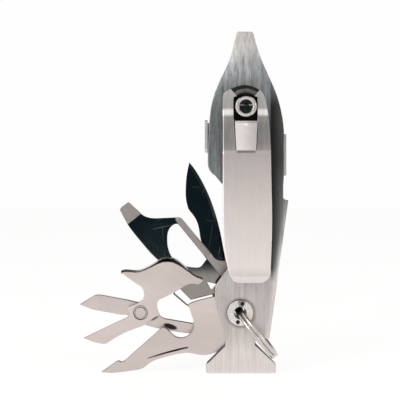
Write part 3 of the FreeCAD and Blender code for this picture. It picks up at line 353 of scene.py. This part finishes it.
def knife_tint(m, c):
    # painted shade: the ground facets are painted darker than the blade, with a rougher grind
    ground = m.step(m.m("ABSOLUTE", m.ny), 0.995, 0.975)
    c = m.mix(ground, c, (0.050, 0.054, 0.056))
    return c, m.m("MULTIPLY", ground, 0.20)


def hook_tint(m, c):
    # painted shade: the lower end is painted a little greyer, where it picks up more light from the paper
    c = m.scaled(c, m.ramp(m.z, [(0.0, 0.74), (6.0, 0.78), (12.0, 0.77), (18.0, 0.90), (23.0, 0.95)]))
    # painted shade: a dark tapered nick along the line p-q
    p, q = (-25.85, 4.29), (-14.55, 7.28)
    dx, dz = q[0] - p[0], q[1] - p[1]
    k = math.hypot(dx, dz)
    d = m.m("ADD", m.m("MULTIPLY", m.m("SUBTRACT", m.x, p[0]), -dz / k), m.m("MULTIPLY", m.m("SUBTRACT", m.z, p[1]), dx / k))
    t = m.m("DIVIDE", m.m("ADD", m.m("MULTIPLY", m.m("SUBTRACT", m.x, p[0]), dx / k), m.m("MULTIPLY", m.m("SUBTRACT", m.z, p[1]), dz / k)), k)
    wide = m.ramp(t, [(0.0, 0.02), (0.25, 0.16), (0.75, 0.30), (0.96, 0.18), (1.0, 0.0)])
    nick = m.m("MULTIPLY", m.step(m.m("SUBTRACT", wide, m.m("ABSOLUTE", d)), -0.02, 0.08),
               m.m("MULTIPLY", m.step(t, -0.01, 0.02), m.step(t, 1.01, 0.98)))
    return m.mix(nick, c, (0.05, 0.045, 0.045))


def arm_tint(m, c):
    c = m.scaled(c, m.ramp(m.z, [(9.0, 0.80), (16.0, 0.84), (22.0, 0.80)]))
    # painted shade: a near-black lens-shaped spot on the arm, and a dark stroke at the thumb blade's root edge
    lens = m.spot((-19.6, 12.6), 1.95, 0.9, squash=0.36, angle=-18)
    blade_root_shade = m.spot((-24.0, 14.9), 1.15, 0.8, squash=0.26, angle=32)
    c = m.mix(m.m("MULTIPLY", blade_root_shade, 0.8), c, (0.05, 0.05, 0.05))
    return m.mix(lens, c, (0.025, 0.025, 0.025))


CREST_IN = [(-33.48, 27.91), (-32.43, 28.22), (-31.02, 28.17), (-29.61, 28.03), (-28.20, 28.17), (-26.78, 28.68), (-25.09, 29.44),
            (-23.11, 30.43), (-21.70, 30.93), (-20.29, 31.05), (-18.88, 30.85), (-17.46, 30.20), (-16.05, 29.35), (-14.64, 28.28)]
CREST_OUT = [(-33.69, 28.25), (-32.58, 28.65), (-31.11, 28.59), (-29.69, 28.48), (-28.27, 28.65), (-26.96, 29.19), (-25.43, 29.92),
             (-23.33, 31.20), (-21.83, 31.97), (-20.33, 32.17), (-18.74, 31.97), (-17.21, 31.14), (-15.73, 29.98), (-14.37, 28.59)]


def thumb_tint(m, c):
    c = m.scaled(c, m.ramp(m.z, [(7.0, 0.78), (14.0, 0.84), (20.0, 0.90), (30.0, 0.93)]))
    zin = m.m("ADD", m.m("MULTIPLY", m.ramp(m.x, [(x, (z - 27.0) / 3.0) for x, z in CREST_IN]), 3.0), 27.0)
    zout = m.m("ADD", m.m("MULTIPLY", m.ramp(m.x, [(x, (z - 27.0) / 3.0) for x, z in CREST_OUT]), 3.0), 27.0)
    span = m.m("MULTIPLY", m.step(m.x, -34.2, -33.6), m.step(m.x, -12.9, -14.0))
    # painted reflection: the curled lip along the top is a near-black band
    lip = m.m("MULTIPLY", m.step(m.m("SUBTRACT", m.z, zin), -0.22, -0.02), span)
    c = m.mix(lip, c, (0.020, 0.020, 0.022))
    # painted highlight: a white line along the lip's outer rim
    edge = m.m("MULTIPLY", m.step(m.m("SUBTRACT", m.z, zout), -0.44, -0.28), m.step(m.x, -30.5, -27.0))
    c = m.mix(m.m("MULTIPLY", m.m("MULTIPLY", edge, lip), 0.9), c, (0.92, 0.92, 0.92))
    # painted shade: a dark ring in the joint round the rivet's recess
    dx, dz = m.m("ADD", m.x, 27.97), m.m("SUBTRACT", m.z, 16.65)
    r = m.m("SQRT", m.m("ADD", m.m("MULTIPLY", dx, dx), m.m("MULTIPLY", dz, dz)))
    ringed = m.m("MULTIPLY", m.step(r, 1.86, 1.94), m.step(r, 2.12, 2.02))
    return m.mix(m.m("MULTIPLY", ringed, 0.9), c, (0.04, 0.037, 0.035))


def jaw_tint(m, c):
    # painted shade: faces turned towards +X are darkened
    return m.scaled(c, m.step(m.nx, 0.12, 0.5, 1.0, 0.55))


def rivet_tint(m, c, rad, ang):
    # painted shade: a dark ring round the rivet head's edge
    return m.mix(m.m("MULTIPLY", m.step(rad, 1.42, 1.54), 0.92), c, (0.03, 0.03, 0.03))


def lever_tint(m, c):
    # painted light and shade: the flat is lighter towards its free end; the side bars by the eye slope and are painted
    # darker, with a painted bright bend line
    c = m.scaled(c, m.ramp(m.z, [(25.0, 0.86), (27.8, 0.94), (30.0, 1.09), (37.0, 1.06), (45.6, 1.0), (52.5, 0.87), (59.0, 0.74), (61.5, 0.66), (62.4, 0.62), (81.0, 0.62)]))
    dx = m.m("ABSOLUTE", m.m("SUBTRACT", m.x, 1.28))
    half = m.m("ADD", m.m("MULTIPLY", m.m("SUBTRACT", m.z, 61.9), 0.055), 2.72)
    bar = m.m("MULTIPLY", m.step(m.m("SUBTRACT", dx, half), 0.0, 0.25), m.step(m.z, 61.4, 62.2))
    bars = m.scaled((0.86, 0.84, 0.83), m.ramp(m.z, [(61.0, 0.62), (62.2, 0.42), (64.0, 0.33), (69.0, 0.33), (71.2, 0.40), (72.0, 1.10),
                                                     (73.0, 1.15), (73.7, 0.62), (76.0, 0.60), (78.5, 0.72), (80.5, 0.5)]))
    sweep = m.noise(m.stretch(0, (1.6, 0.6, 0.14)), detail=3.0)
    bars = m.scaled(bars, m.m("ADD", m.m("MULTIPLY", m.m("SUBTRACT", sweep, 0.5), 0.7), 1.0))
    top = m.m("MAXIMUM", bar, m.step(m.z, 70.3, 70.9))
    c = m.mix(top, c, bars)
    # painted light: the tongue stays bright, a little darker to its right
    tongue = m.m("MULTIPLY", m.m("SUBTRACT", 1.0, m.step(m.m("SUBTRACT", dx, half), 0.0, 0.2)),
                 m.m("MULTIPLY", m.step(m.z, 61.7, 62.1), m.step(m.z, 70.6, 70.2)))
    c = m.mix(tongue, c, m.scaled((0.90, 0.85, 0.84), m.step(m.x, -0.6, 4.2, 1.10, 0.76)))
    # painted shadow: a dark line at the tongue's lower fold
    line = m.m("MULTIPLY", m.step(m.z, 61.0, 61.35), m.step(m.z, 61.95, 61.6))
    c = m.mix(m.m("MULTIPLY", m.m("MULTIPLY", line, m.step(dx, 2.9, 2.2)), 0.6), c, (0.10, 0.09, 0.09))
    # dressed bridge beyond the eye: painted dark reflection, mottled, with a little more roughness
    ex, ez = m.m("SUBTRACT", m.x, 1.3), m.m("SUBTRACT", m.z, 73.9)
    r = m.m("SQRT", m.m("ADD", m.m("MULTIPLY", ex, ex), m.m("MULTIPLY", ez, ez)))
    arc = m.m("MULTIPLY", m.step(m.m("DIVIDE", ez, r), 0.75, 0.80), m.step(r, 3.0, 3.3))
    rough = m.noise(m.stretch(0, (1.5, 1.5, 1.5)), detail=4.0, rough=0.7)
    lum = m.m("MULTIPLY", m.ramp(r, [(3.2, 0.012), (3.95, 0.02), (4.25, 0.13), (5.05, 0.15), (5.3, 0.02), (6.2, 0.03)]),
              m.m("ADD", m.m("MULTIPLY", m.m("SUBTRACT", rough, 0.5), 2.2), 1.0))
    c = m.mix(arc, c, m.grey(lum))
    return c, m.m("MULTIPLY", arc, 0.15)


def pivot_tint(m, c, rad, ang):
    # painted shade: a dark wedge on the head's upper side
    w = m.step(m.m("COSINE", m.m("SUBTRACT", ang, 1.45)), 0.90, 0.99)
    c = m.mix(m.m("MULTIPLY", w, 0.7), c, (0.12, 0.11, 0.105))
    # painted shade: a dark ring round the head's rim
    c = m.mix(m.m("MULTIPLY", m.step(rad, 3.42, 3.66), 0.72), c, (0.10, 0.095, 0.09))
    # painted shade: the two spanner holes are near black
    for hole in ((-0.74, 14.46), (0.54, 19.54)):
        c = m.mix(m.spot(hole, 0.56, 0.10), c, (0.03, 0.03, 0.03))
    # painted shade: the central bore is near black
    c = m.mix(m.step(rad, 1.86, 1.68), c, (0.06, 0.057, 0.055))
    return c


def stud_tint(m, c, rad, ang):
    # painted shade: the stud's dish is near black, crossed by a lighter line
    dish = m.m("MULTIPLY", m.step(rad, 1.98, 1.78), m.step(m.y, -5.0, -6.0))
    line = m.m("MULTIPLY", m.step(m.m("ABSOLUTE", m.m("SUBTRACT", m.z, 74.25)), 0.28, 0.10), 0.45)
    c = m.mix(dish, c, m.mix(line, (0.018, 0.02, 0.02), (0.55, 0.55, 0.54)))
    return c


WARM = (0.86, 0.79, 0.77)
MATS = {
    "front": steel("brushed_frame_steel", (0.66, 0.635, 0.62), 0.38, 0, grain=0.17, fine=3.0, coarse=1.1, bump=0.45,
                   patch=0.08, tint=frame_tint, top_edge_reflection=(0.75, -4.3, 0.75, 0.3)),
    "rear": steel("brushed_rear_steel", (0.62, 0.60, 0.585), 0.38, 0, grain=0.14, fine=3.0, coarse=1.1, bump=0.4, patch=0.08,
                  streak=0.5),
    "jaw": steel("rear_leaf_steel", (0.74, 0.71, 0.695), 0.36, 0, grain=0.12, fine=3.2, coarse=1.0, bump=0.35, patch=0.07,
                 streak=0.5, tint=jaw_tint),
    "lever": steel("satin_lever_steel", WARM, 0.42, 0, grain=0.05, fine=4.5, coarse=1.2, bump=0.20, patch=0.035,
                   scratch=0.12, wear=0.15, tint=lever_tint),
    # painted reflection: the polished blade's and opener's colours are near black, standing in for the dark room they
    # mirror
    "knife": steel("polished_blade_steel_painted_reflection", (0.150, 0.167, 0.177), 0.08, 24, grain=0.10, fine=4.0, coarse=0.8, bump=0.05,
                   patch=0.16, scratch=0.30, wear=0.05, tint=knife_tint, crisp=True),
    "opener": steel("polished_opener_steel_painted_reflection", (0.155, 0.178, 0.190), 0.09, 40, grain=0.10, fine=4.0, coarse=0.8, bump=0.05,
                    patch=0.16, scratch=0.35, wear=0.35, tint=opener_tint),
    "hook": steel("satin_hook_steel", (0.84, 0.735, 0.70), 0.36, 78, grain=0.08, fine=3.6, coarse=0.9, bump=0.25,
                  patch=0.09, scratch=0.2, wear=0.08, edge=0.22, top_edge_reflection=(0.95, -3.2, 0.95, 0.35), tint=hook_tint),
    "arm": steel("satin_arm_steel", (0.84, 0.745, 0.71), 0.36, 80, grain=0.07, fine=3.6, coarse=0.9, bump=0.22,
                 patch=0.09, scratch=0.2, wear=0.08, edge=0.28, top_edge_reflection=(0.95, -0.75, 0.75, 0.35), tint=arm_tint),
    "thumb": steel("satin_thumb_steel", (0.86, 0.755, 0.72), 0.36, 60, grain=0.06, fine=3.6, coarse=0.9, bump=0.2,
                   patch=0.11, scratch=0.2, wear=0.08, edge=0.22, top_edge_reflection=(0.95, -1.75, 0.55, 0.0), tint=thumb_tint),
    "pivot": turned("turned_pivot_steel", (0.80, 0.755, 0.725), 0.26, tint=pivot_tint),
    "nut": turned("turned_nut_steel", (0.74, 0.71, 0.69), 0.26),
    "washer": turned("washer_steel", (0.60, 0.58, 0.565), 0.30, rings=5.0),
    "stud": turned("polished_stud_steel", (0.58, 0.56, 0.55), 0.16, centre=(1.3, 73.9), rings=6.0, tint=stud_tint),
    "rivet": turned("rivet_steel", (0.68, 0.60, 0.575), 0.25, centre=(-27.97, 16.65), rings=7.0, tint=rivet_tint, wear=0.0),
    "jawrivet": steel("jaw_rivet_steel", (0.70, 0.68, 0.66), 0.30, 0, grain=0.08, fine=4.0, bump=0.2),
    "spring": steel("blue_spring_steel", (0.05, 0.046, 0.044), 0.30, 50, grain=0.08, fine=5.0, bump=0.15),
    "ring": steel("bright_ring_wire", (0.60, 0.57, 0.545), 0.27, 0, grain=0.05, fine=2.0, coarse=0.6, bump=0.10,
                  patch=0.08, scratch=0.25, wear=0.1),
}
for node, key in (("front_frame", "front"), ("rear_frame", "rear"), ("rear_jaw", "jaw"), ("jaw_rivets", "jawrivet"),
                  ("pivot_post", "pivot"), ("pivot_nut", "nut"), ("washer_front", "washer"), ("washer_hook", "washer"),
                  ("spacer_scissors", "washer"), ("washer_opener", "washer"), ("washer_knife", "washer"),
                  ("washer_rear", "washer"), ("hook_opener", "hook"), ("scissors_arm", "arm"),
                  ("scissors_thumb", "thumb"), ("scissors_rivet", "rivet"), ("opener_driver", "opener"),
                  ("knife_blade", "knife"), ("lever_stud", "stud"), ("lever", "lever")):
    dress(node, MATS[key])


# ------------------------------------------------------------------ split ring, wound from wire
def sweep(name, pts, normals, section, mat, close_ends=True, smooth=True):
    """Tube through pts. normals[i] is the section's own x axis at pts[i]; section is a list of (a, b)."""
    bm = bmesh.new()
    rings = []
    n = len(pts)
    for i, p in enumerate(pts):
        t = (pts[min(i + 1, n - 1)] - pts[max(i - 1, 0)]).normalized()
        u = (normals[i] - t * normals[i].dot(t)).normalized()
        w = t.cross(u)
        rings.append([bm.verts.new(p + u * a + w * b) for a, b in section])
    k = len(section)
    for i in range(n - 1):
        for j in range(k):
            f = bm.faces.new((rings[i][j], rings[i][(j + 1) % k], rings[i + 1][(j + 1) % k], rings[i + 1][j]))
            f.smooth = smooth
    if close_ends:
        for ring, flip in ((rings[0], True), (rings[-1], False)):
            cen = sum((v.co for v in ring), Vector()) / k
            c = bm.verts.new(cen)
            for j in range(k):
                a, b = ring[j], ring[(j + 1) % k]
                bm.faces.new((b, a, c) if flip else (a, b, c))
    bmesh.ops.recalc_face_normals(bm, faces=bm.faces[:])
    me = bpy.data.meshes.new(name)
    bm.to_mesh(me)
    bm.free()
    me.materials.append(mat)
    o = bpy.data.objects.new(name, me)
    bpy.context.scene.collection.objects.link(o)
    return o


RA = math.radians(-51.8)
RU = Vector((math.cos(RA), 0, math.sin(RA)))      # pivot to ring centre
RN = Vector((-math.sin(RA), 0, math.cos(RA)))     # ring's own axis
RC = Vector((PIV[0], 0, PIV[1])) * MM + RU * 7.6 * MM
R_COIL, R_WIRE, LIFT = 8.4 * MM, 0.53 * MM, 0.52 * MM
JOG0, JOG1 = math.radians(118), math.radians(146)
pts, nrm = [], []
STEPS = 150
start, end = JOG0 + math.radians(6), JOG0 + math.radians(714)
for i in range(2 * STEPS + 1):
    a = start + (end - start) * i / (2 * STEPS)
    rel = (a - JOG0) - 2 * math.pi
    # layer A until the jog comes round again, then across to layer B
    t = min(max(rel / (JOG1 - JOG0), 0.0), 1.0)
    t = t * t * (3 - 2 * t)
    lift = -LIFT + 2 * LIFT * t
    radial = RU * math.cos(a) + Vector((0, 1, 0)) * math.sin(a)
    pts.append(RC + radial * R_COIL + RN * lift)
    nrm.append(radial)
sec = []
for i in range(14):
    a = 2 * math.pi * i / 14
    ca, sa = math.cos(a), math.sin(a)
    sec.append((R_WIRE * abs(ca) ** 0.82 * math.copysign(1, ca), 0.97 * R_WIRE * abs(sa) ** 0.82 * math.copysign(1, sa)))
ring = sweep("split_ring_coil", pts, nrm, sec, MATS["ring"])
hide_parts("split_ring")
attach(ring, "ring")


# ------------------------------------------------------------------ scissors spring, one bent strip
SA, SB = Vector((-11.3, 0, 15.6)), Vector((-18.55, 0, 21.85))
sd = (SB - SA).normalized()
sn = Vector((-sd.z, 0, sd.x))
sl = (SB - SA).length
line = []
for i in range(33):
    s = sl * i / 32
    line.append(SA + sd * s)
# tip curled back on itself
tc = SA + sd * sl + sn * -0.12
for i in range(1, 9):
    a = math.radians(90 - 22 * i)
    line.append(tc + sd * 0.15 * math.cos(a) + sn * 0.15 * math.sin(a))
bm = bmesh.new()
HT = 0.145
rows = []
for i, p in enumerate(line):
    q0, q1 = line[max(i - 1, 0)], line[min(i + 1, len(line) - 1)]
    t = (q1 - q0).normalized()
    n = Vector((-t.z, 0, t.x))
    s = (p - SA).dot(sd)
    y0 = -0.70 if s < 4.9 and i < 33 else -1.65
    y1 = 0.15
    b = 0.05
    row = []
    for (yy, k) in ((y0 + b, -1), (y1 - b, -1), (y1, -0.6), (y1, 0.6), (y1 - b, 1), (y0 + b, 1), (y0, 0.6), (y0, -0.6)):
        row.append(bm.verts.new((p + n * HT * k + Vector((0, yy, 0))) * MM))
    rows.append(row)
for r0, r1 in zip(rows, rows[1:]):
    for j in range(8):
        bm.faces.new((r0[j], r0[(j + 1) % 8], r1[(j + 1) % 8], r1[j]))
bm.faces.new(rows[0][::-1])
bm.faces.new(rows[-1])
bmesh.ops.recalc_face_normals(bm, faces=bm.faces[:])
me = bpy.data.meshes.new("spring_strip")
bm.to_mesh(me)
bm.free()
me.materials.append(MATS["spring"])
spring = bpy.data.objects.new("spring_strip", me)
bpy.context.scene.collection.objects.link(spring)
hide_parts("scissors_spring")
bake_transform(spring)


# ------------------------------------------------------------------ floor, sky and lights
BACK = (0.991, 0.990, 0.990)

fm = bpy.data.materials.new("studio_floor")
fm.use_nodes = True
nt = fm.node_tree
nt.nodes.clear()
out = nt.nodes.new("ShaderNodeOutputMaterial")
em = nt.nodes.new("ShaderNodeEmission")
em.inputs["Color"].default_value = (*BACK, 1)
em.inputs["Strength"].default_value = 1.122
df = nt.nodes.new("ShaderNodeBsdfDiffuse")
tc = nt.nodes.new("ShaderNodeTexCoord")
ns = nt.nodes.new("ShaderNodeTexNoise")
ns.inputs["Scale"].default_value = 30.0
nt.links.new(tc.outputs["Object"], ns.inputs["Vector"])
mr = nt.nodes.new("ShaderNodeMapRange")
mr.inputs[3].default_value = 0.80
mr.inputs[4].default_value = 0.86
nt.links.new(ns.outputs[0], mr.inputs[0])
cc = nt.nodes.new("ShaderNodeCombineColor")
for s in cc.inputs[:3]:
    nt.links.new(mr.outputs[0], s)
nt.links.new(cc.outputs[0], df.inputs["Color"])
mx = nt.nodes.new("ShaderNodeMixShader")
mx.inputs[0].default_value = 0.22
nt.links.new(em.outputs[0], mx.inputs[1])
nt.links.new(df.outputs[0], mx.inputs[2])
nt.links.new(mx.outputs[0], out.inputs[0])

bm = bmesh.new()
bmesh.ops.create_grid(bm, x_segments=8, y_segments=8, size=4.0)
for v in bm.verts:                       # the paper ends a little in front of the tool
    v.co.y = (v.co.y + 4.0) / 8.0 * 4.3 - 0.30
me = bpy.data.meshes.new("floor")
bm.to_mesh(me)
bm.free()
me.materials.append(fm)
floor = bpy.data.objects.new("floor", me)
floor.location = (0, 0, -0.00002)
bpy.context.scene.collection.objects.link(floor)

world = bpy.data.worlds.new("studio_sky")
bpy.context.scene.world = world
world.use_nodes = True
nt = world.node_tree
nt.nodes.clear()


def wn(kind, **inputs):
    n = nt.nodes.new(kind)
    return n


def wmath(op, a, b=None):
    n = nt.nodes.new("ShaderNodeMath")
    n.operation = op
    for v, s in zip((a, b), n.inputs):
        if v is None:
            continue
        if isinstance(v, bpy.types.NodeSocket):
            nt.links.new(v, s)
        else:
            s.default_value = v
    return n.outputs[0]


def wstep(v, lo, hi, a=0.0, b=1.0):
    n = nt.nodes.new("ShaderNodeMapRange")
    n.interpolation_type = "SMOOTHSTEP"
    if lo > hi:
        lo, hi, a, b = hi, lo, b, a
    nt.links.new(v, n.inputs[0])
    for val, s in zip((lo, hi, a, b), n.inputs[1:]):
        s.default_value = val
    return n.outputs[0]


def toward(direction, lo_deg, hi_deg, a, b):
    """a within lo_deg of the direction, going to b at hi_deg."""
    d = Vector(direction).normalized()
    n = nt.nodes.new("ShaderNodeVectorMath")
    n.operation = "DOT_PRODUCT"
    nt.links.new(gen.outputs["Generated"], n.inputs[0])
    n.inputs[1].default_value = d
    return wstep(n.outputs["Value"], math.cos(math.radians(hi_deg)), math.cos(math.radians(lo_deg)), b, a)


gen = nt.nodes.new("ShaderNodeTexCoord")
sep = nt.nodes.new("ShaderNodeSeparateXYZ")
nt.links.new(gen.outputs["Generated"], sep.inputs[0])
elev = nt.nodes.new("ShaderNodeValToRGB")
el = elev.color_ramp.elements
while len(el) < 8:
    el.new(0.5)
for k, (p, v) in zip(el, ((0.0, 0.50), (0.5, 0.50), (0.57, 0.46), (0.69, 0.36), (0.80, 0.50), (0.885, 0.42), (0.94, 0.03), (1.0, 0.012))):
    k.position = p
for k, (p, v) in zip(el, ((0.0, 0.50), (0.5, 0.50), (0.57, 0.46), (0.69, 0.36), (0.80, 0.50), (0.885, 0.42), (0.94, 0.03), (1.0, 0.012))):
    k.color = (v, v, v, 1)
nt.links.new(wmath("ADD", wmath("MULTIPLY", sep.outputs[2], 0.5), 0.5), elev.inputs[0])
sky = wmath("MULTIPLY", elev.outputs[0], 2.0)                    # soft front box, dark overhead
room = toward((0.0, -1, -0.03), 9, 15, 0.02, 1.0)                # dark, slightly blue room behind the camera
sky = wmath("MULTIPLY", sky, room)
glow = wmath("SUBTRACT", 1.0, room)
sky = wmath("MULTIPLY", sky, toward((0.75, -0.62, 0.05), 14, 34, 0.45, 1.0))   # a dark card to the right
hue = nt.nodes.new("ShaderNodeCombineColor")
for s, k, g in zip(hue.inputs[:3], (1.0, 0.965, 0.94), (0.010, 0.036, 0.050)):
    nt.links.new(wmath("ADD", wmath("MULTIPLY", sky, k), wmath("MULTIPLY", glow, g)), s)
bg1 = nt.nodes.new("ShaderNodeBackground")
nt.links.new(hue.outputs[0], bg1.inputs["Color"])
bg1.inputs["Strength"].default_value = 1.0
bg2 = nt.nodes.new("ShaderNodeBackground")
bg2.inputs["Color"].default_value = (*BACK, 1)
bg2.inputs["Strength"].default_value = 1.0
lp = nt.nodes.new("ShaderNodeLightPath")
mxw = nt.nodes.new("ShaderNodeMixShader")
nt.links.new(lp.outputs["Is Camera Ray"], mxw.inputs[0])
nt.links.new(bg1.outputs[0], mxw.inputs[1])
nt.links.new(bg2.outputs[0], mxw.inputs[2])
wo = nt.nodes.new("ShaderNodeOutputWorld")
nt.links.new(mxw.outputs[0], wo.inputs[0])


def area(name, loc, aim, size, power, col=(1, 0.97, 0.94)):
    l = bpy.data.lights.new(name, "AREA")
    l.shape = "DISK"
    l.size = size
    l.energy = power
    l.color = col
    o = bpy.data.objects.new(name, l)
    o.location = loc
    o.rotation_euler = (Vector(aim) - Vector(loc)).to_track_quat("-Z", "Y").to_euler()
    bpy.context.scene.collection.objects.link(o)
    return o


area("key_soft_left", (-0.45, -0.42, 0.30), (0, 0, 0.045), 0.30, 1.6)
area("fill_soft_right", (0.55, -0.25, 0.22), (0, 0, 0.045), 0.25, 0.7)

cam_data = bpy.data.cameras.new("camera")
cam_data.sensor_width = 36.0
cam_data.lens = 67.5
cam_data.clip_start = 0.005
cam_data.clip_end = 20.0
cam = bpy.data.objects.new("camera", cam_data)
cam.location = (-0.01125, -0.21263, 0.04833)
cam.rotation_euler = (math.radians(90), 0, 0)
bpy.context.scene.collection.objects.link(cam)
bpy.context.scene.camera = cam
bpy.context.scene.view_settings.view_transform = "Standard"
bpy.context.scene.view_settings.look = "None"

bpy.context.view_layer.update()
